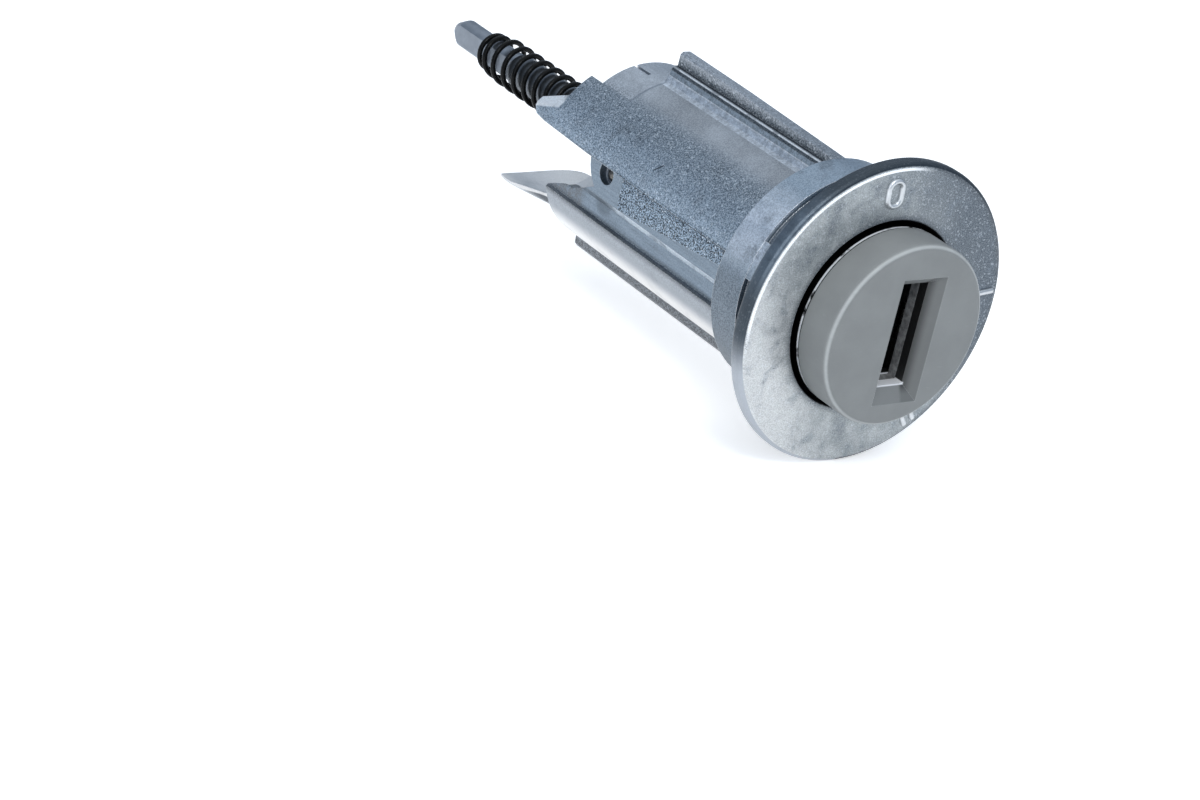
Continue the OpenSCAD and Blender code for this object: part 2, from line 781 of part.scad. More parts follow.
// Tail: the driver shaft with flats, its cross pin and its spring
module tail_shaft() {
  color([0.68, 0.7, 0.74]) difference() {
    union() {
      bar(shank_from + seat_gap, boss_end, shank_r);
      intersection() {
        union() {
          bar(boss_end - cut, tail_end - tail_taper, tail_r);
          translate([0, tail_end - tail_taper, 0]) rotate([-90, 0, 0])
            cylinder(h = tail_taper, r1 = tail_r, r2 = tail_tip_r);
        }
        translate([-tail_flats / 2, boss_end - cut, -tail_r])
          cube([tail_flats, tail_end - boss_end + 2 * cut, 2 * tail_r]);
      }
    }
    translate([-boss_d, cross_pin_at, 0]) rotate([0, 90, 0])
      cylinder(h = 2 * boss_d, r = cross_pin_d / 2 + fit_gap, $fn = 48);
  }
}

module tail_pin() {
  half = boss_d / 2 - 0.3;
  color([0.55, 0.56, 0.58]) translate([-half, cross_pin_at, 0]) rotate([0, 90, 0])
    cylinder(h = 2 * half, r = cross_pin_d / 2, $fn = 48);
}

module tail_spring() {
  turns = 15;
  first = boss_end + seat_gap + tail_wire / 2;
  last = tail_spring_end - tail_wire / 2;
  radii = [[0, tail_coil_r], [turns - 2, tail_coil_r], [turns - 1, tail_grip_r], [turns, tail_grip_r]];
  places = coil(
    turns, 16, 0, 1, radii,
    [[0, first], [1, first + tail_wire], [turns - 1, last - tail_wire], [turns, last]]
  );
  color([0.1, 0.1, 0.11]) rotate([-90, 0, 0]) wire(places, [0, 0, 1], tail_wire / 2, 8);
}

housing();
rotor();
plug_cap();
key_guide();
shutter();
shutter_pin();
shutter_spring();
for (i = [1:wafer_count]) {
  wafer(i);
  wafer_spring(i);
}
retaining_pin();
tail_shaft();
tail_pin();
tail_spring();
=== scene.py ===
"""Looks of the ignition lock cylinder: finishes, spring wires, the tail's root and position marks."""

import math

import bpy
from mathutils import Matrix, Vector


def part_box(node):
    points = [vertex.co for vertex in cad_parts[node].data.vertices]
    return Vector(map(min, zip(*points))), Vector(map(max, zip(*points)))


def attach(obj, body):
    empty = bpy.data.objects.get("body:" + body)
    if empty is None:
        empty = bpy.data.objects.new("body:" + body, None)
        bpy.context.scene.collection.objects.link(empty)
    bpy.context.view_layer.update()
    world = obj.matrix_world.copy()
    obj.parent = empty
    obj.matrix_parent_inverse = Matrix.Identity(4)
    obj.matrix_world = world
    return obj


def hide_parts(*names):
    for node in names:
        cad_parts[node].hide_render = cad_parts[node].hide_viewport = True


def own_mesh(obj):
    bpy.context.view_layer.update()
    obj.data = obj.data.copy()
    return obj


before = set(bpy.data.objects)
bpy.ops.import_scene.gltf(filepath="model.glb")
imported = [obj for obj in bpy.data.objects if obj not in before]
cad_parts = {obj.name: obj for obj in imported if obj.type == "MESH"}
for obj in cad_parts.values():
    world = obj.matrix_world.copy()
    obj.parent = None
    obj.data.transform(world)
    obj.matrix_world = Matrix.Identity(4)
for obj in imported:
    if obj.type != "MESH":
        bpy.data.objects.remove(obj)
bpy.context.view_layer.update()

MM = 0.001

# Camera, from the photograph's perspective, placed in millimetres
CAMERA_PLACE = (-207.632, -207.757, 116.205)
CAMERA_RIGHT = (0.803242, -0.560408, 0.201853)
CAMERA_UP = (0.089265, 0.448304, 0.889413)
CAMERA_BACK = (-0.588926, -0.696396, 0.410121)
CAMERA_LENS = 96.0
SENSOR = 36.0
CLIP_START, CLIP_END = 0.005, 10

# Room: the floor, in metres, its glow, and the sky's colours from the horizon up
FLOOR_SIZE, FLOOR_MIDDLE_Y = 3, 0.03
FLOOR_GREY, FLOOR_GLOW = 0.86, 0.57
SKY = [
    (0.50, (0.20, 0.26, 0.34, 1)),
    (0.68, (0.36, 0.44, 0.55, 1)),
    (0.84, (0.62, 0.71, 0.83, 1)),
    (1.00, (0.90, 0.96, 1.02, 1)),
]

# Sizes below are millimetres. Clock angles are degrees from the top and below zero on the left.
# A pair in brackets is a span, or a fade where the second number is the full end.

# Flange and collar
FLANGE_R, FLANGE_T = 16.3, 1.8
HOLE_R, HOLE_DEPTH = 10.15, 4.0
LIP_CLOCK, DARK_RIM_CLOCK = (-94, 6), (14, 150)
WALL_LIGHT_CLOCK = (-92, -112)
RING_FROM, COLLAR_END = 6.0, 10.0
COLLAR_R = (11.3, 11.6)
RELIEF_R = 11.9
LIT_CLOCK, COLLAR_SHADE_CLOCK = (-74, -40), (-72, -88)

# Tones across the flange's face: how they lean, how far they wander, and where each fades in
FACE_LEAN, FACE_WANDER = 0.55, 9.0
FACE_GREY, FACE_DARK, FACE_CLOUDED = (-15.0, -7.0), (1.0, 16.0), (9.0, -4.0)

# Barrel and wing
BARREL_R = (9.3, 9.6)
RIM_FROM = 36.2
WING_LOW, WING_HIGH = -83.0, -38.0
WING_END = 43.95
TIP_CLOCK, TIP_SLOPE = -66.3, 2.0
TIP_TOP = (-48, -52)
NICK_Y, NICK_CLOCK, NICK_SLOPE = 26.0, -61.5, 0.16
NICK_SPAN = (-64.2, -58.8)

# Upper rib: distance from the middle plane and height of each step
RIB_END = 36.75
FOOT_X, FOOT_Z = (1.62, 2.7), (9.7, 10.75)
WALL_X, WALL_Z = (1.4, 1.8), (10.7, 11.28)
LEDGE_X, LEDGE_Z = (0.6, 1.65), (11.25, 11.78)
LEDGE_EDGE_X, LEDGE_EDGE_Z = (1.20, 1.30), (11.48, 11.54)
RIDGE_Z, RIDGE_TOP = (11.74, 11.84), (11.9, 13.0)

# Side channel with its rail
CHANNEL_X, CHANNEL_LOW = (-8.4, -8.55), -4.75
CORNER_SHADE_Z = (-3.9, -4.6)
FLOOR_FACE, RAIL_FACE = 8.6, 9.3
RAIL_HALF = 2.4
PAD_Y = (12.8, 31.0)
SHELF_Z, SHELF_Y = (-2.62, -1.82), (34.0, 30.0)
LUG_Y, LUG_Z = (37.0, 38.2), (-1.2, -1.8)
STAIN_Y, STAIN_Z = 34.0, -2.9

# Lower side and tongue
LOW_RIB_HALF, LOW_RIB_TOP, LOW_RIB_END = 2.2, -10.45, 46.4
UNDER_Y, UNDER_Z = (44.5, 43.9), (-4.5, -4.7)
SHADE_Z, BELLY_REFLECTION_Z = (-4.65, -5.5), (-6.4, -8.8)
UNRUBBED_Z = (-5.6, -7.4)
TONGUE_Y, TONGUE_Z = (43.75, 43.95), (-6.0, -7.0)
TONGUE_R, TONGUE_FLARE, FLARE_Y = 9.52, 1.23, (46.4, 54.5)
TONGUE_SHADE = (-8.2, -9.8)

# Plug and cap; depths run from the cap's front into the key mouth
HEAD_R, HEAD_Y = (9.4, 9.6), (3.0, 2.8)
HEAD_HIGHLIGHT = (-0.54, -0.28)
KEYWAY_R, KEYWAY_Y = (6.8, 6.6), (30.0, 29.0)
CAP_R, CAP_FRONT = 9.75, -4.93
MOUTH_X, MOUTH_Z = (-2.3, 3.9), (-7.5, 6.3)
MOUTH_RIGHT = (1.5, 2.0)
BEVEL_DEPTH, SHADE_DEPTH, THROAT_DEPTH = (0.01, 0.05), (0.30, 0.80), (0.76, 0.84)
SILL_DEPTH, SILL_Z = (0.70, 0.78), (-5.75, -5.45)

# Springs and the tail's root
WIRE_SIDES, TURN_STEPS = 14, 36
SPRING_FROM, SPRING_TO = 41.05, 70.0
SPRING_TURNS = 15
SPRING_COIL_R, SPRING_GRIP_R = 2.40, 1.97
SPRING_WIRE_R = 0.30
WAFERS = 8
WAFER_SPRING_TURNS = 5
WAFER_WIRE_R = 0.1
ROOT_FROM, ROOT_TO = 40.9, 64.0
ROOT_R, ROOT_END_R = 2.03, 1.92
ROOT_SHOULDER = 0.2
ROOT_SIDES = 64

# Position marks: width and height, then clock angle and distance from the axis
MARK_RISE = 0.32
NOUGHT_SIZE, NOUGHT_AT = (2.3, 3.3), (-6, 13.2)
NOUGHT_STROKE = 0.62
NOUGHT_STEPS, STROKE_STEPS = 40, 12
ONE_SIZE, ONE_AT = (0.62, 3.2), (84, 13.9)
TWO_SIZE, TWO_AT = (0.55, 3.0), (146, 13.8)
TWO_SIDE = 0.55
BAR_SOFTENING = 0.75

# Edges flatter than the first angle are shaded smooth, and the root's above the second are softened
SMOOTH_ANGLE = math.radians(40)
SHARP_ANGLE = math.radians(60)
SOFT_STEPS = 4

# Tints of the metal and the plastic
BLUE = (0.77, 0.96, 1.16)
COOL = (0.92, 0.98, 1.06)
WHITE = (0.98, 1.0, 1.02)
WARM = (1.02, 1.0, 0.98)
ICE = (0.92, 1.0, 1.08)
GLITTER = (0.94, 1.0, 1.06)
MAUVE = (1.0, 0.99, 1.03)
IVORY = (1.0, 1.0, 0.98)
AQUA = (0.95, 1.0, 1.0)
MINT = (0.97, 1.0, 0.97)
PLASTIC = (0.98, 1.0, 0.97)

# Stretch that turns noise into tool lines round the lock's axis, and rays that sample a soft edge
TURNED = (0.2, 6.0, 0.2)
EDGE_SAMPLES = 6


class Line:
    """One output of a finish's nodes. Arithmetic on it adds Math nodes."""

    def __init__(self, finish, socket):
        self.finish = finish
        self.socket = socket

    def maths(self, operation, a, b):
        """The result of a Math node on two lines or numbers."""
        return self.finish.node("ShaderNodeMath", {"operation": operation}, {0: a, 1: b})

    def __add__(self, other):
        return self.maths("ADD", self, other)

    __radd__ = __add__

    def __sub__(self, other):
        return self.maths("SUBTRACT", self, other)

    def __rsub__(self, other):
        return self.maths("SUBTRACT", other, self)

    def __mul__(self, other):
        return self.maths("MULTIPLY", self, other)

    __rmul__ = __mul__

    def __pow__(self, other):
        return self.maths("POWER", self, other)

    def angle(self, other):
        """The clock angle of a point, in degrees, from its X, which this is, and its Z."""
        return self.maths("ARCTAN2", self, other) * (180 / math.pi)

    def size(self):
        """This without its sign."""
        return self.maths("ABSOLUTE", self, 0.0)

    def at_most(self, top):
        return self.maths("MINIMUM", self, top)

    def step(self, low, high):
        """0 below low, 1 above high, smooth between; the other way round where low is the greater."""
        turned = low > high
        settings = {"interpolation_type": "SMOOTHSTEP"}
        inputs = {"Value": self, "From Min": min(low, high), "From Max": max(low, high)}
        if turned:
            inputs.update({"To Min": 1.0, "To Max": 0.0})
        return self.finish.node("ShaderNodeMapRange", settings, inputs)

    def within(self, low, high, soft):
        """1 between low and high, 0 outside, with soft ends."""
        return self.step(low - soft, low + soft) * self.step(high + soft, high - soft)


class Bag:
    """Lines of one finish, each under a name."""

    def __init__(self, **lines):
        self.__dict__.update(lines)


class Nodes:
    """A node tree being made. One method adds any node."""

    def __init__(self, tree):
        self.tree = tree

    def node(self, kind, settings=None, inputs=None, out=0):
        """One output of a new node, with its settings made and its inputs joined or set."""
        made = self.tree.nodes.new(kind)
        for key, value in (settings or {}).items():
            setattr(made, key, value)
        for key, value in (inputs or {}).items():
            if isinstance(value, Line):
                self.tree.links.new(value.socket, made.inputs[key])
            else:
                made.inputs[key].default_value = value
        return Line(self, made.outputs[out])

    def split(self, place):
        """X, Y and Z of a place."""
        outputs = self.node("ShaderNodeSeparateXYZ", None, {"Vector": place}).socket.node.outputs
        return [Line(self, outputs[k]) for k in range(3)]

    def mix(self, share, a, b):
        """Colour a where the share is 0 and colour b where it is 1."""
        return self.node("ShaderNodeMix", {"data_type": "RGBA"}, {0: share, 6: a, 7: b}, 2)

    def ramp(self, share, stops):
        """The colour of a share, between stops of place and colour."""
        line = self.node("ShaderNodeValToRGB", None, {"Fac": share}, "Color")
        elements = line.socket.node.color_ramp.elements
        while len(elements) < len(stops):
            elements.new(0.5)
        for element, (place, colour) in zip(elements, stops):
            element.position = place
            element.color = colour
        return line


class Finish(Nodes):
    """A material being made. Paint lays tones over its colour, and feed joins a line to its shader."""

    def __init__(self, name, **constants):
        self.material = bpy.data.materials.new(name)
        self.material.use_nodes = True
        super().__init__(self.material.node_tree)
        self.shader = self.tree.nodes["Principled BSDF"]
        self.colour = None
        for key, value in constants.items():
            self.shader.inputs[key.replace("_", " ")].default_value = value

    def paint(self, mask, tone):
        """Lays a tone over the colour so far, as far as the mask lets it."""
        self.colour = self.mix(mask, self.colour, tone)

    def feed(self, socket, line):
        """Joins a line to an input of the shader."""
        self.tree.links.new(line.socket, self.shader.inputs[socket])

    def place(self, scale=(1, 1, 1), shift=(0, 0, 0)):
        """Object coordinates in millimetres, stretched and shifted."""
        coordinates = self.node("ShaderNodeTexCoord", out="Object")
        size = tuple(s / MM for s in scale)
        inputs = {"Vector": coordinates, "Scale": size, "Location": shift}
        return self.node("ShaderNodeMapping", None, inputs)

    def spot(self):
        """A point of the lock: its place, X, Y and Z, and its distance from the axis."""
        place = self.place()
        x, y, z = self.split(place)
        return Bag(place=place, x=x, y=y, z=z, r=(x * x + z * z) ** 0.5)

    def noise(self, place, scale, detail, rough):
        """Smooth noise, finer for a greater scale, with detail added in rough steps."""
        inputs = {"Vector": place, "Scale": scale, "Detail": detail, "Roughness": rough}
        return self.node("ShaderNodeTexNoise", None, inputs, "Fac")

    def glitter(self, place, scale):
        """A random number for each small cell."""
        cell = self.node("ShaderNodeTexVoronoi", None, {"Vector": place, "Scale": scale}, "Position")
        return self.node("ShaderNodeTexWhiteNoise", None, {"Vector": cell}, "Value")

    def soft_edge(self, radius, low=0.01, high=0.16):
        """The normal as if edges were rounded, and a mask of those edges."""
        rounded = self.node("ShaderNodeBevel", {"samples": EDGE_SAMPLES}, {"Radius": radius * MM})
        flat = self.node("ShaderNodeNewGeometry", out="Normal")
        settings = {"operation": "DOT_PRODUCT"}
        same = self.node("ShaderNodeVectorMath", settings, {0: rounded, 1: flat}, "Value")
        return rounded, (1 - same).step(low, high)

    def bump(self, height, depth, normal=None):
        """The normal of a surface with a height, whose depth is in millimetres."""
        inputs = {"Height": height, "Distance": depth * MM, "Strength": 1.0}
        if normal is not None:
            inputs["Normal"] = normal
        return self.node("ShaderNodeBump", None, inputs, "Normal")


def grey(level, tint=(1.0, 1.0, 1.0)):
    """A grey of a level, tinted."""
    return tuple(level * t for t in tint) + (1.0,)


def flange_areas(at):
    """Masks of the flange's face and edges, the hole, and the collar with its relief."""
    y, r, clock = at.y, at.r, at.clock
    face = y.step(0.5, 0.2) * r.step(HOLE_R - 0.1, HOLE_R + 0.1)
    face = face * r.step(FLANGE_R - 0.35, FLANGE_R - 0.43)
    lip = r.within(FLANGE_R - 0.82, FLANGE_R - 0.50, 0.05) * y.step(0.17, 0.12)
    collar = y.within(FLANGE_T - 0.1, COLLAR_END + 0.05, 0.1) * r.step(*COLLAR_R)
    relief = collar * r.step(RELIEF_R + 0.4, RELIEF_R + 0.2)
    return {
        "face": face,
        "lip": lip * clock.within(*LIP_CLOCK, 8.0),
        "dark_rim": face * r.step(FLANGE_R - 1.1, FLANGE_R - 0.3) * clock.within(*DARK_RIM_CLOCK, 14.0),
        "inner_edge": face * r.step(HOLE_R + 1.1, HOLE_R + 0.1),
        "edge_wall": r.step(FLANGE_R - 0.48, FLANGE_R - 0.40),
        "hole": r.step(HOLE_R + 0.12, HOLE_R + 0.04) * y.within(0.05, HOLE_DEPTH, 0.05),
        "collar": collar,
        "relief": relief * y.step(RING_FROM + 0.1, RING_FROM),
    }


def barrel_areas(at):
    """Masks of the wing with its bevelled tip and its nick, and of the barrel's rear rim."""
    y, clock = at.y, at.clock
    outside = at.behind * at.r.step(*BARREL_R)
    wing = clock.step(WING_LOW - 1, WING_LOW + 1) * clock.step(WING_HIGH + 10, WING_HIGH - 6) * outside
    tip = (clock - TIP_CLOCK + TIP_SLOPE * (y - WING_END)).step(-0.7, 0.7) * wing
    nick = (y - NICK_Y + NICK_SLOPE * (clock - NICK_CLOCK)).size().step(0.14, 0.05)
    rim = y.step(RIM_FROM - 0.6, RIM_FROM + 0.6) * clock.step(WING_HIGH, WING_HIGH + 1)
    return {
        "behind": at.behind,
        "wing": wing,
        "tip": tip * y.step(WING_END - 0.5, WING_END - 0.25) * clock.step(*TIP_TOP),
        "nick": nick * clock.within(*NICK_SPAN, 0.5) * wing,
        "rim": rim * outside,
    }


def rib_areas(at):
    """Masks of the upper rib's steps."""
    aside, z = at.aside, at.z
    rib = at.behind * at.y.step(RIB_END + 0.15, RIB_END - 0.15)
    ledge = rib * aside.within(*LEDGE_X, 0.03) * z.within(*LEDGE_Z, 0.04)
    return {
        "foot": rib * aside.within(*FOOT_X, 0.06) * z.within(*FOOT_Z, 0.06),
        "wall": rib * aside.within(*WALL_X, 0.03) * z.within(*WALL_Z, 0.05),
        "ledge": ledge,
        "ledge_edge": ledge * aside.step(*LEDGE_EDGE_X) * z.step(*LEDGE_EDGE_Z),
        "ridge": rib * z.step(*RIDGE_Z),
    }


def channel_areas(at):
    """Masks of the side channel, its shelf, lug and stain, and of the rough pad on the rail."""
    x, y, z = at.x, at.y, at.z
    left = x.step(*CHANNEL_X) * at.behind * z.within(CHANNEL_LOW, RAIL_HALF, 0.1)
    shelf = x.within(-RAIL_FACE, -FLOOR_FACE, 0.04) * z.within(*SHELF_Z, 0.06)
    on_rail = x.step(-RAIL_FACE - 0.1, -RAIL_FACE - 0.2) * z.within(-RAIL_HALF, RAIL_HALF, 0.05)
    from_stain = ((y - STAIN_Y) * 0.7) ** 2.0 + (z - STAIN_Z) ** 2.0
    return {
        "left": left,
        "shelf": shelf * at.behind * y.step(*SHELF_Y),
        "lug": left * y.step(*LUG_Y) * z.step(*LUG_Z),
        "stain": left * from_stain.step(1.4, 0.1),
        "pad": on_rail * y.within(*PAD_Y, 0.05),
    }


def lower_areas(at):
    """Masks of the lower rib, the underside beside it, the tongue and the tongue's outer face."""
    y, z = at.y, at.z
    low_rib = at.aside.step(LOW_RIB_HALF + 0.1, LOW_RIB_HALF - 0.1) * at.behind
    low_rib = low_rib * z.step(LOW_RIB_TOP + 0.15, LOW_RIB_TOP - 0.15)
    low_rib = low_rib * y.step(LOW_RIB_END + 0.2, LOW_RIB_END - 0.2)
    beside = 1 - low_rib
    tongue = z.step(*TONGUE_Z) * y.step(*TONGUE_Y) * beside
    outer_r = TONGUE_R + TONGUE_FLARE * y.step(*FLARE_Y)
    return {
        "low_rib": low_rib,
        "under": z.step(*UNDER_Z) * at.behind * y.step(*UNDER_Y) * beside,
        "tongue": tongue,
        "outer": tongue * (at.r - outer_r).step(0.0, 0.1),
    }


def zinc_skin(f, place):
    """The casting's unevenness, from broad patches down to grains."""
    return Bag(
        patches=f.noise(f.place(shift=(4.0, 2.0, 7.0)), 0.17, 4.0, 0.6),
        flow=f.noise(f.place(scale=(1, 0.4, 1)), 0.55, 4.0, 0.6),
        grain=f.noise(place, 7.0, 1.0, 0.5).step(0.38, 0.62),
        coarse=f.noise(place, 1.7, 3.0, 0.7).step(0.35, 0.65),
        fine=f.noise(place, 9.0, 2.0, 0.6),
        glint=f.glitter(place, 6.5).step(0.86, 0.98),
        streak=f.noise(f.place(scale=(3.0, 0.12, 3.0)), 1.6, 3.0, 0.6).step(0.35, 0.75),
        speckle=f.noise(place, 7.2, 2.0, 0.5).step(0.41, 0.56),
        smudge=f.noise(f.place(shift=(1.0, 5.0, 3.0)), 0.30, 5.0, 0.65).step(0.50, 0.72),
        broken=f.noise(f.place(shift=(0.0, 3.0, 0.0)), 0.35, 3.0, 0.6).step(0.38, 0.50),
    )


def paint_sides(f, at, area, skin):
    """The wing with a painted sheen and a painted highlight on its tip, and the side channel with
    painted shade towards its lower corner and a painted highlight on its shelf.
    """
    # Painted sheen: the wing is painted lighter towards its lower edge.
    painted_sheen = at.clock.step(WING_HIGH - 4, WING_HIGH - 36) * 0.75 + 0.5 * (skin.flow - 0.5)
    f.paint(area.wing, f.mix(painted_sheen, grey(0.26, BLUE), grey(0.54, BLUE)))
    # Painted highlight on the wing's bevelled tip.
    f.paint(area.tip, grey(0.90, WHITE))
    # Painted shade: the channel floor is painted darker towards its lower corner.
    floor = f.mix(at.z.step(*CORNER_SHADE_Z), grey(0.29, BLUE), grey(0.09, BLUE))
    f.paint(area.left, f.mix(skin.streak * 0.6, floor, grey(0.17, BLUE)))
    f.paint(area.lug * (0.3 + 0.7 * skin.coarse), grey(0.15, COOL))
    # Painted highlight, broken, along the shelf below the rail.
    f.paint(area.shelf * (0.5 + 0.5 * skin.broken), grey(1.0, ICE))


def paint_collar(f, at, area, skin):
    """The collar with painted light at its upper left and painted shade on its lower side, painted
    shade in its relief, and the flange's side wall in painted shade, lighter at the lower left.
    """
    # Painted light: the collar is painted bright at its upper left.
    lit = at.clock.within(*LIT_CLOCK, 10.0) * (0.5 + skin.flow).step(0.6, 1.1)
    f.paint(area.collar, f.mix(lit, grey(0.42, BLUE), grey(0.95, COOL)))
    f.paint(area.collar * skin.coarse * 0.3, grey(0.16, BLUE))
    # Painted shade on the collar's lower side.
    f.paint(area.collar * at.clock.step(*COLLAR_SHADE_CLOCK) * 0.85, grey(0.13, BLUE))
    # Painted shade in the collar's relief.
    f.paint(area.relief * 0.8, grey(0.11, BLUE))
    # Painted shade on the flange's side wall, lighter where the painted light falls and at its lower
    # left.
    wall = f.mix(lit, grey(0.07, BLUE), grey(0.19, BLUE))
    wall = f.mix(at.clock.step(*WALL_LIGHT_CLOCK), wall, grey(0.44, COOL))
    f.paint(area.edge_wall, wall)


def paint_ribs(f, at, area, skin):
    """The barrel's rear rim, and the upper rib's steps in painted light and shade, with a broken
    painted highlight along the ledge.
    """
    f.paint(area.rim * 0.8, f.mix(skin.flow.step(0.3, 0.7), grey(0.42, COOL), grey(0.58, COOL)))
    # Painted highlight on the rib's foot.
    f.paint(area.foot, f.mix(skin.coarse, grey(0.52, COOL), grey(0.74, COOL)))
    # Painted shade on the rib's wall.
    f.paint(area.wall, f.mix(skin.coarse, grey(0.18, BLUE), grey(0.30, BLUE)))
    # Painted shade on the ledge, with a broken painted highlight along its outer edge.
    f.paint(area.ledge, grey(0.05, BLUE))
    f.paint(area.ledge_edge * (0.5 + 0.5 * skin.broken), grey(0.85, WHITE))
    # Painted shade low on the ridge, painted light at its top.
    f.paint(area.ridge, f.mix(at.z.step(*RIDGE_TOP), grey(0.07, BLUE), grey(0.46, COOL)))


def paint_lower(f, at, area, skin):
    """The underside with painted shade by its crease and a painted reflection growing paler downwards,
    the lower rib darkened with painted shade, and the tongue painted pale as a reflection, with painted
    shade low on its outer face.
    """
    # Painted reflection: the underside is painted paler downwards, with painted shade by the crease
    # above.
    belly_reflection = f.mix(at.z.step(*BELLY_REFLECTION_Z), grey(0.40, COOL), grey(0.92, WARM))
    f.paint(area.under, f.mix(at.z.step(*SHADE_Z), grey(0.12, COOL), belly_reflection))
    # Painted shade on the lower rib.
    f.paint(area.low_rib, grey(0.14, MAUVE))
    # Painted reflection: the tongue is painted pale, and its outer face dark low down as painted shade.
    f.paint(area.tongue, grey(0.76, WARM))
    f.paint(area.outer, f.mix(at.z.step(*TONGUE_SHADE), grey(0.14, COOL), grey(0.88, WHITE)))


def paint_face(f, at, area, skin):
    """The flange's face: mottled, pale at the left, dark at the right and along its outer rim, and
    darkened towards the hole with painted shade.
    """
    across = at.x + FACE_LEAN * at.z + FACE_WANDER * (skin.patches - 0.5)
    plate = f.mix(across.step(*FACE_GREY), grey(0.76, IVORY), grey(0.46, AQUA))
    plate = f.mix(across.step(*FACE_DARK), plate, grey(0.12, BLUE))
    cloud = skin.flow.step(0.45, 0.70) * across.step(*FACE_CLOUDED) * 0.5
    plate = f.mix(cloud, plate, grey(0.80, MINT))
    plate = f.mix(skin.flow.step(0.48, 0.32) * 0.45, plate, grey(0.20, BLUE))
    # Painted shade darkening the face towards the hole.
    plate = f.mix(area.inner_edge ** 1.6 * 0.75, plate, grey(0.07, BLUE))
    plate = f.mix(area.dark_rim * 0.75, plate, grey(0.05, BLUE))
    f.paint(area.face, plate)


def paint_wear_and_glints(f, at, area, skin):
    """Smudges, rubbed grain, the pad's speckle, the stain, painted glints and the nick."""
    soiled = 0.18 + 0.40 * area.wing + 0.26 * area.face + 0.42 * area.collar
    f.paint(skin.smudge * soiled, grey(0.11, BLUE))
    rubbed = 0.22 * area.behind + 0.30 * area.wing + 0.26 * area.face + 0.20 * area.ridge
    rubbed = rubbed + 0.26 * area.collar + 0.25 * area.low_rib
    rubbed = rubbed * (1 - 0.6 * area.tongue - 0.3 * area.left - 0.7 * area.tip)
    rubbed = rubbed * (1 - 0.7 * area.under * at.z.step(*UNRUBBED_Z))
    f.paint((1 - skin.grain) * rubbed, grey(0.05, BLUE))
    f.paint(skin.grain * rubbed * 0.5, grey(0.85, ICE))
    f.paint((1 - skin.coarse) * rubbed * (0.45 - 0.25 * area.wing), grey(0.12, BLUE))
    f.paint(area.pad, f.mix(skin.speckle, grey(0.06, BLUE), grey(0.50, BLUE)))
    f.paint(area.stain * 0.5, grey(0.08, BLUE))
    # Painted glints: highlights painted as pale cells, most on the wing, pad, face and ridge.
    shiny = 0.04 + 0.34 * area.wing + 0.30 * area.pad + 0.20 * area.face + 0.30 * area.ridge
    f.paint(skin.glint * shiny, grey(0.95, GLITTER))
    f.paint(area.nick * 0.9, grey(0.05, BLUE))


def cast_zinc():
    """Die-cast zinc: bright mottled flange, grainy blue wing, rough rail pad, pale edges partly rubbed
    and partly painted highlight, and painted light and shade on many areas.
    """
    f = Finish("cast_zinc")
    at = f.spot()
    at.clock = at.x.angle(at.z)
    at.aside = at.x.size()
    at.behind = at.y.step(COLLAR_END - 0.1, COLLAR_END + 0.2)
    area = Bag(
        **flange_areas(at), **barrel_areas(at), **rib_areas(at), **channel_areas(at), **lower_areas(at)
    )
    skin = zinc_skin(f, at.place)

    f.colour = f.mix(skin.patches.step(0.35, 0.7), grey(0.32, COOL), grey(0.44, COOL))
    for layers in (paint_sides, paint_collar, paint_ribs, paint_lower, paint_face, paint_wear_and_glints):
        layers(f, at, area, skin)
    rounded, edge = f.soft_edge(0.12)
    # Pale edges: partly rubbed wear, partly painted highlight, more of it on the collar.
    f.paint(edge * (0.20 + 0.30 * skin.grain + 0.30 * area.collar), grey(0.85, WHITE))
    # Painted highlight along the flange's rounded rim, which is also made more metallic and smoother
    # below.
    f.paint(area.lip, grey(0.92, WHITE))
    # Painted shade: the hole round the plug is painted black.
    f.paint(area.hole, grey(0.004))
    f.feed("Base Color", f.colour)
    f.feed("Metallic", 0.92 - 0.45 * area.face + 0.45 * area.lip)

    rough = 0.42 + 0.16 * (skin.flow - 0.5) + 0.12 * (skin.grain - 0.5) - 0.10 * edge
    rough = rough + 0.10 * area.wing + 0.12 * area.pad - 0.06 * area.face
    rough = rough - 0.10 * skin.glint * area.wing + 0.3 * area.hole - 0.12 * area.lip
    f.feed("Roughness", rough)

    height = (skin.grain * 0.5 + skin.fine * 0.5) * (0.45 + 0.65 * area.wing - 0.20 * area.face)
    height = height + skin.flow * 0.8 + area.pad * skin.speckle * 3.0 - area.nick * 2.0
    f.feed("Normal", f.bump(height, 0.03, rounded))
    return f.material


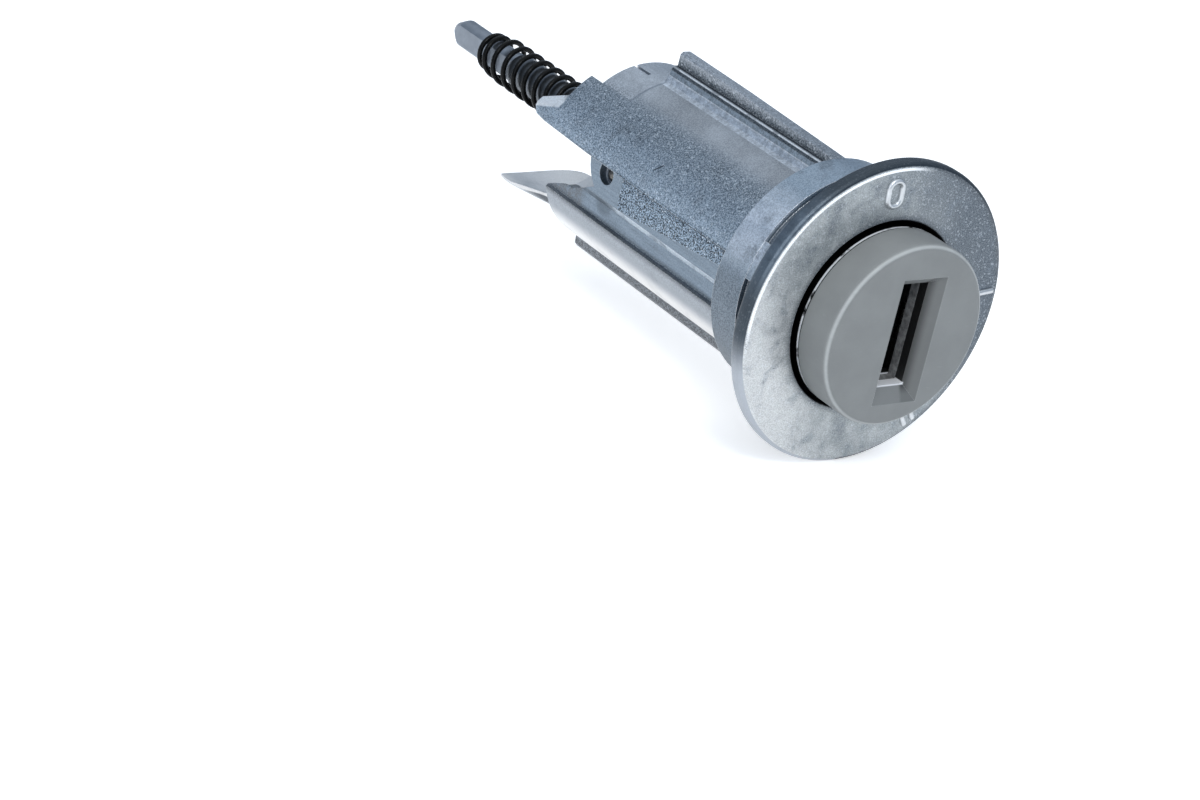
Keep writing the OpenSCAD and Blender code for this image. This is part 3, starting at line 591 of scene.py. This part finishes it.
def plug_zinc():
    """The plug's zinc: turned lines, a head and keyway painted black as painted shade, and a broken
    painted highlight round the head's front edge.
    """
    f = Finish("plug_zinc")
    at = f.spot()
    lines = f.noise(f.place(scale=TURNED), 2.0, 3.0, 0.6)
    cloud = f.noise(at.place, 0.5, 4.0, 0.6)
    broken = f.noise(at.place, 0.45, 4.0, 0.7).step(0.34, 0.50)
    shaded_head = at.r.step(*HEAD_R) * at.y.step(*HEAD_Y)
    shaded_keyway = at.r.step(*KEYWAY_R) * at.y.step(*KEYWAY_Y)
    line = shaded_head * at.y.within(*HEAD_HIGHLIGHT, 0.05) * broken
    rounded, edge = f.soft_edge(0.10)
    f.colour = f.mix(cloud.step(0.3, 0.7), grey(0.24), grey(0.34))
    f.paint(edge * 0.6 * cloud.step(0.4, 0.6), grey(0.55))
    # Painted shade: the head's side and the keyway are painted black.
    f.paint(shaded_head + shaded_keyway, grey(0.010))
    # Painted highlight: a broken bright line round the head's front edge.
    f.paint(line, grey(1.0))
    f.feed("Base Color", f.colour)
    f.feed("Metallic", 0.95 - 0.6 * line)
    f.feed("Roughness", 0.34 + 0.16 * (lines - 0.5) + 0.14 * (cloud - 0.5) - 0.08 * edge)
    f.feed("Normal", f.bump(lines * 0.6 + cloud * 0.4, 0.012, rounded))
    return f.material


def turned_zinc(name, level, tint, roughness):
    """Zinc with fine tool lines round the axis and rubbed edges."""
    f = Finish(name, Metallic=0.95)
    place = f.place()
    lines = f.noise(f.place(scale=TURNED), 2.0, 3.0, 0.6)
    cloud = f.noise(place, 0.5, 4.0, 0.6)
    grain = f.noise(place, 6.0, 2.0, 0.6)
    rounded, edge = f.soft_edge(0.10)
    f.colour = f.mix(cloud.step(0.3, 0.7), grey(level * 0.78, tint), grey(level, tint))
    f.paint(edge * 0.7 * cloud.step(0.4, 0.6), grey(level * 1.35, tint))
    f.feed("Base Color", f.colour)
    f.feed("Roughness", roughness + 0.16 * (lines - 0.5) + 0.14 * (cloud - 0.5) - 0.08 * edge)
    f.feed("Normal", f.bump(lines * 0.6 + grain * 0.4, 0.012, rounded))
    return f.material


def grey_plastic():
    """Moulded grey plastic: fine eroded skin, faint flow marks, pale edges partly rubbed and partly
    painted highlight, a mouth darkened with painted shade and a painted highlight on its sill.
    """
    f = Finish("grey_plastic", Specular_IOR_Level=0.45)
    at = f.spot()
    depth = at.y - CAP_FRONT
    cloud = f.noise(at.place, 0.22, 4.0, 0.55)
    skin = f.noise(at.place, 9.0, 2.0, 0.6)
    scuff = f.noise(f.place(scale=(0.6, 1.0, 2.2)), 0.9, 5.0, 0.65)
    rounded, edge = f.soft_edge(0.05, 0.003, 0.03)
    rubbed_and_highlit = at.r.step(CAP_R - 0.40, CAP_R - 0.25) * depth.step(0.4, 0.2)
    mouth = at.x.within(*MOUTH_X, 0.05) * at.z.within(*MOUTH_Z, 0.05)
    bevel = mouth * depth.step(*BEVEL_DEPTH)
    shaded_right = bevel * at.x.step(*MOUTH_RIGHT)
    shaded_throat = mouth * depth.step(*THROAT_DEPTH)
    sill_highlight = mouth * depth.step(*SILL_DEPTH) * at.z.within(*SILL_Z, 0.03)
    f.colour = f.mix(cloud.step(0.3, 0.7), grey(0.245, PLASTIC), grey(0.275, PLASTIC))
    f.paint(scuff.step(0.6, 0.8) * 0.25, grey(0.40, PLASTIC))
    # Pale rim: partly rubbed wear, partly painted highlight.
    f.paint(rubbed_and_highlit * (0.45 + 0.5 * scuff), grey(0.56, PLASTIC))
    # Painted shade in the key mouth: the bevels darker, the right bevel darker still towards the
    # throat, and the throat black.
    f.paint(bevel * 0.22, grey(0.10, PLASTIC))
    f.paint(shaded_right * 0.35, grey(0.06, PLASTIC))
    f.paint(shaded_right * depth.step(*SHADE_DEPTH) * 0.85, grey(0.02, PLASTIC))
    # Pale edges: partly rubbed wear, partly painted highlight.
    f.paint(edge * (1 - shaded_throat) * 0.6, grey(0.55, PLASTIC))
    f.paint(shaded_throat, grey(0.008))
    # Painted highlight on the sill at the throat's bottom.
    f.paint(sill_highlight, grey(0.80))
    f.feed("Base Color", f.colour)
    f.feed("Roughness", 0.46 + 0.18 * (scuff - 0.5) + 0.10 * (skin - 0.5) - 0.06 * edge)
    f.feed("Normal", f.bump(skin * 0.7 + scuff * 0.3, 0.010, rounded))
    return f.material


def black_wire():
    """Black oxide on spring wire: oily gloss, fine unevenness and a few rubbed grey places."""
    f = Finish("black_spring", Specular_IOR_Level=0.12, Coat_Weight=0.05, Coat_Roughness=0.1)
    place = f.place()
    rub = f.noise(place, 1.6, 4.0, 0.65)
    fine = f.noise(place, 9.0, 2.0, 0.6)
    f.feed("Base Color", f.mix(rub.step(0.58, 0.8), grey(0.003), grey(0.025, (1.05, 1.0, 0.95))))
    f.feed("Roughness", 0.28 + 0.20 * (rub - 0.5) + 0.12 * (fine - 0.5))
    f.feed("Normal", f.bump(fine, 0.006))
    return f.material


def pressed_metal(name, low, high, roughness, metallic=0.95):
    """Pressed or drawn metal: two tones in clouds and drawing lines."""
    f = Finish(name, Metallic=metallic)
    cloud = f.noise(f.place(), 1.6, 5.0, 0.7)
    lines = f.noise(f.place(scale=(5.0, 5.0, 0.3)), 1.5, 3.0, 0.6)
    rounded, edge = f.soft_edge(0.06)
    f.colour = f.mix(cloud.step(0.3, 0.72), low, high)
    f.paint(lines.step(0.6, 0.8) * 0.4, low)
    f.feed("Base Color", f.colour)
    f.feed("Roughness", roughness + 0.2 * (lines - 0.5) + 0.15 * (cloud - 0.5) - 0.1 * edge)
    f.feed("Normal", f.bump(lines * 0.6 + cloud * 0.4, 0.01, rounded))
    return f.material


def finishes():
    """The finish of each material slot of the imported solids."""
    return {
        "cast_zinc": cast_zinc(),
        "plug_zinc": plug_zinc(),
        "grey_plastic": grey_plastic(),
        "guide_steel": pressed_metal("guide_steel", grey(0.16), grey(0.44), 0.50, 0.35),
        # The shutter is painted near black as painted shade deep in the key mouth.
        "shutter_steel": pressed_metal("shutter_steel", grey(0.008), grey(0.014), 0.45),
        "pin_steel": pressed_metal("pin_steel", grey(0.04), grey(0.20, (1.05, 1.0, 0.92)), 0.30),
        "spring_steel": pressed_metal("spring_steel", grey(0.03), grey(0.08), 0.32),
        "tail_zinc": turned_zinc("tail_zinc", 0.31, (0.88, 0.97, 1.10), 0.40),
        "wafer_brass": pressed_metal("wafer_brass", (0.50, 0.34, 0.11, 1), (0.66, 0.48, 0.19, 1), 0.34),
        "black_spring": black_wire(),
    }


def only(obj):
    """Selects one object and makes it active."""
    bpy.ops.object.select_all(action="DESELECT")
    obj.select_set(True)
    bpy.context.view_layer.objects.active = obj
    return obj


def fresh(name):
    """The primitive just added, named."""
    obj = bpy.context.active_object
    obj.name = name
    obj.data.name = name
    return obj


def settle(obj, material, body):
    """Applies the place of a finished piece, gives it its finish and lets it ride."""
    only(obj)
    bpy.ops.object.transform_apply(location=True, rotation=True, scale=True)
    obj.data.materials.clear()
    obj.data.materials.append(material)
    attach(obj, body)


def close_ends(wire):
    """Closes both ends of a coiled tube and shades it smooth."""
    only(wire)
    bpy.ops.object.mode_set(mode="EDIT")
    bpy.ops.mesh.select_all(action="DESELECT")
    bpy.ops.mesh.select_mode(type="EDGE")
    bpy.ops.mesh.select_non_manifold()
    bpy.ops.mesh.edge_face_add()
    bpy.ops.mesh.select_all(action="SELECT")
    bpy.ops.mesh.normals_make_consistent(inside=False)
    bpy.ops.object.mode_set(mode="OBJECT")
    bpy.ops.object.shade_smooth_by_angle(angle=SMOOTH_ANGLE)


def coiled_wire(name, turns, coil_r, grip_r, wire_r, begin, end):
    """A round wire coiled along Y, with closed end turns and its last turns drawn in to the grip.

    It is coiled evenly first, and then each turn is moved to its own height and radius.
    """
    bpy.ops.mesh.primitive_circle_add(
        vertices=WIRE_SIDES, radius=wire_r * MM, fill_type="NOTHING", location=(coil_r * MM, 0, 0)
    )
    wire = only(fresh(name))
    bpy.ops.object.transform_apply(location=True)
    pitch = 4 * wire_r * MM
    screw = wire.modifiers.new("coil", "SCREW")
    screw.axis = "Y"
    screw.angle = 2 * math.pi
    screw.screw_offset = pitch
    screw.iterations = turns
    screw.steps = screw.render_steps = TURN_STEPS
    screw.use_merge_vertices = False
    bpy.ops.object.modifier_apply(modifier="coil")
    first = begin + wire_r
    last = end - wire_r
    lead = 2 * wire_r
    middle = (last - first - 2 * lead) / (turns - 2)
    for v in wire.data.vertices:
        part = math.atan2(-v.co.z, v.co.x) / (2 * math.pi)
        turn = part + round(v.co.y / pitch - part)
        if turn < 1:
            height = first + lead * turn
        elif turn > turns - 1:
            height = last - lead * (turns - turn)
        else:
            height = first + lead + middle * (turn - 1)
        grip = min(1.0, max(0.0, turn - (turns - 2)))
        near = math.hypot(v.co.x, v.co.z) + (grip_r - coil_r) * grip * MM
        flat = Vector((v.co.x, 0, v.co.z)).normalized() * near
        v.co = Vector((flat.x, height * MM + v.co.y - pitch * turn, flat.z))
    close_ends(wire)
    return wire


def tail_spring(material):
    """The tail spring, whose last turns grip the shaft."""
    radii = (SPRING_COIL_R, SPRING_GRIP_R, SPRING_WIRE_R)
    wire = coiled_wire("tail_spring_wire", SPRING_TURNS, *radii, SPRING_FROM, SPRING_TO)
    settle(wire, material, "plug")
    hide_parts("tail_spring")


def wafer_springs(material):
    """The wafers' springs, each coiled in the place of its solid."""
    for k in range(1, WAFERS + 1):
        node = "wafer_spring_%d" % k
        low, high = (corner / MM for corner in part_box(node))
        middle = (low + high) / 2
        coil_r = (high.y - low.y) / 2 - WAFER_WIRE_R
        radii = (coil_r, coil_r, WAFER_WIRE_R)
        wire = coiled_wire(node + "_wire", WAFER_SPRING_TURNS, *radii, low.z, high.z)
        wire.rotation_euler = (math.pi / 2, 0, 0)
        wire.location = (middle.x * MM, middle.y * MM, 0)
        settle(wire, material, "plug")
        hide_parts(node)
        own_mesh(wire)


def tail_root(material):
    """The thick, tapered root of the tail shaft that fills the spring, with a softened shoulder."""
    bpy.ops.mesh.primitive_cone_add(
        vertices=ROOT_SIDES,
        radius1=ROOT_R * MM,
        radius2=ROOT_END_R * MM,
        depth=(ROOT_TO - ROOT_FROM) * MM,
        location=(0, (ROOT_FROM + ROOT_TO) / 2 * MM, 0),
        rotation=(-math.pi / 2, 0, 0),
    )
    root = only(fresh("tail_root"))
    bpy.ops.object.mode_set(mode="EDIT")
    bpy.ops.mesh.select_all(action="DESELECT")
    bpy.ops.mesh.select_mode(type="EDGE")
    bpy.ops.mesh.edges_select_sharp(sharpness=SHARP_ANGLE)
    bpy.ops.mesh.bevel(offset=ROOT_SHOULDER * MM, segments=SOFT_STEPS, affect="EDGES")
    bpy.ops.object.mode_set(mode="OBJECT")
    bpy.ops.object.shade_smooth_by_angle(angle=SMOOTH_ANGLE)
    settle(root, material, "plug")


def on_flange(obj, clock, radius):
    """Stands a mark, drawn upright on the front, at a clock angle of the flange's face."""
    a = math.radians(clock)
    obj.rotation_euler = (0, a, 0)
    obj.location = (radius * MM * math.sin(a), 0, radius * MM * math.cos(a))


def raised_bar(name, width, height):
    """A cast stroke: a bar with softened edges, half of it let into the face."""
    bpy.ops.mesh.primitive_cube_add(size=1, location=(0, 0, 0))
    bar = only(fresh(name))
    bar.scale = (width * MM, 2 * MARK_RISE * MM, height * MM)
    bpy.ops.object.transform_apply(scale=True)
    bpy.ops.object.mode_set(mode="EDIT")
    bpy.ops.mesh.select_all(action="SELECT")
    bpy.ops.mesh.bevel(offset=MARK_RISE * BAR_SOFTENING * MM, segments=SOFT_STEPS, affect="EDGES")
    bpy.ops.object.mode_set(mode="OBJECT")
    bpy.ops.object.shade_smooth_by_angle(angle=SMOOTH_ANGLE)
    return bar


def raised_ring(name, width, height, stroke):
    """A cast nought: a round stroke drawn out to an oval, half of it let into the face."""
    bpy.ops.mesh.primitive_torus_add(
        major_radius=(width - stroke) / 2 * MM,
        minor_radius=stroke / 2 * MM,
        major_segments=NOUGHT_STEPS,
        minor_segments=STROKE_STEPS,
        rotation=(math.pi / 2, 0, 0),
    )
    ring = only(fresh(name))
    bpy.ops.object.transform_apply(rotation=True)
    bpy.ops.object.mode_set(mode="EDIT")
    bpy.ops.mesh.select_all(action="SELECT")
    bpy.ops.transform.resize(value=(1, 2 * MARK_RISE / stroke, 1))
    bpy.ops.object.mode_set(mode="OBJECT")
    reach = (height - width) / 2 * MM
    for v in ring.data.vertices:
        v.co.z += reach if v.co.z > 0 else -reach
    bpy.ops.object.shade_smooth()
    return ring


def flange_marks(material):
    """Raised position numbers on the flange: 0, I and II."""
    nought = raised_ring("mark_0", *NOUGHT_SIZE, NOUGHT_STROKE)
    on_flange(nought, *NOUGHT_AT)
    one = raised_bar("mark_1", *ONE_SIZE)
    on_flange(one, *ONE_AT)
    marks = [nought, one]
    for side in (-TWO_SIDE, TWO_SIDE):
        bar = raised_bar("mark_2", *TWO_SIZE)
        for v in bar.data.vertices:
            v.co.x += side * MM
        on_flange(bar, *TWO_AT)
        marks.append(bar)
    for mark in marks:
        settle(mark, material, "housing")


def dress(materials):
    """Gives each carried-over solid its finish."""
    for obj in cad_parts.values():
        for k, old in enumerate(obj.data.materials):
            obj.data.materials[k] = materials[old.name.split(".")[0]]


def camera():
    """The camera that took the photograph, as fitted to it."""
    data = bpy.data.cameras.new("camera")
    data.lens = CAMERA_LENS
    data.sensor_width = SENSOR
    data.clip_start = CLIP_START
    data.clip_end = CLIP_END
    obj = bpy.data.objects.new("camera", data)
    bpy.context.scene.collection.objects.link(obj)
    turn = Matrix((CAMERA_RIGHT, CAMERA_UP, CAMERA_BACK)).transposed().to_4x4()
    obj.matrix_world = Matrix.Translation(Vector(CAMERA_PLACE) * MM) @ turn
    bpy.context.scene.camera = obj


def soft_box(name, place, aim, size, power, colour=(1, 1, 1)):
    """A square lamp at a place, in metres, turned to its aim."""
    data = bpy.data.lights.new(name, "AREA")
    data.shape = "RECTANGLE"
    data.size = size
    data.size_y = size
    data.energy = power
    data.color = colour
    obj = bpy.data.objects.new(name, data)
    bpy.context.scene.collection.objects.link(obj)
    obj.location = place
    obj.rotation_euler = (Vector(aim) - Vector(place)).to_track_quat("-Z", "Y").to_euler()


def paper_floor():
    """A pale floor, which glows only as seen by the camera or in a reflection."""
    bpy.ops.mesh.primitive_plane_add(size=FLOOR_SIZE, location=(0, FLOOR_MIDDLE_Y, -FLANGE_R * MM))
    floor = fresh("floor")
    paper = Finish("floor_paper", Roughness=0.9, Specular_IOR_Level=0.1, Emission_Strength=1.0)
    paper.shader.inputs["Base Color"].default_value = grey(FLOOR_GREY)
    rays = paper.node("ShaderNodeLightPath").socket.node.outputs
    seen = Line(paper, rays["Is Camera Ray"]) + Line(paper, rays["Is Glossy Ray"])
    seen = (seen + Line(paper, rays["Is Transmission Ray"])).at_most(1.0)
    paper.feed("Emission Color", paper.mix(seen, grey(0.0), grey(FLOOR_GLOW)))
    floor.data.materials.append(paper.material)


def studio():
    """The floor, a room that grows brighter upwards and three soft boxes."""
    paper_floor()
    world = bpy.data.worlds.new("room")
    bpy.context.scene.world = world
    world.use_nodes = True
    room = Nodes(world.node_tree)
    towards = room.node("ShaderNodeTexCoord", out="Generated")
    sky = room.ramp(room.split(towards)[2] * 0.5 + 0.5, SKY)
    room.tree.links.new(sky.socket, room.tree.nodes["Background"].inputs["Color"])

    pale_blue = (0.93, 0.98, 1.0)
    soft_box("overhead", (0.11, 0.27, 0.34), (0, 0.03, 0), size=0.30, power=0.08, colour=pale_blue)
    soft_box("front_top", (-0.15, -0.235, 0.35), (0, 0, 0), size=0.14, power=0.55)
    soft_box("near_left", (-0.10, -0.06, 0.05), (0, 0, 0), size=0.05, power=0.02)


def main():
    """Sets the stage, dresses the solids and adds what they lack."""
    bpy.context.scene.view_settings.view_transform = "Standard"
    camera()
    studio()
    materials = finishes()
    dress(materials)
    tail_spring(materials["black_spring"])
    tail_root(turned_zinc("root_zinc", 0.20, (0.90, 0.98, 1.08), 0.34))
    wafer_springs(materials["spring_steel"])
    flange_marks(turned_zinc("mark_zinc", 0.72, (0.97, 1.0, 1.02), 0.36))


main()
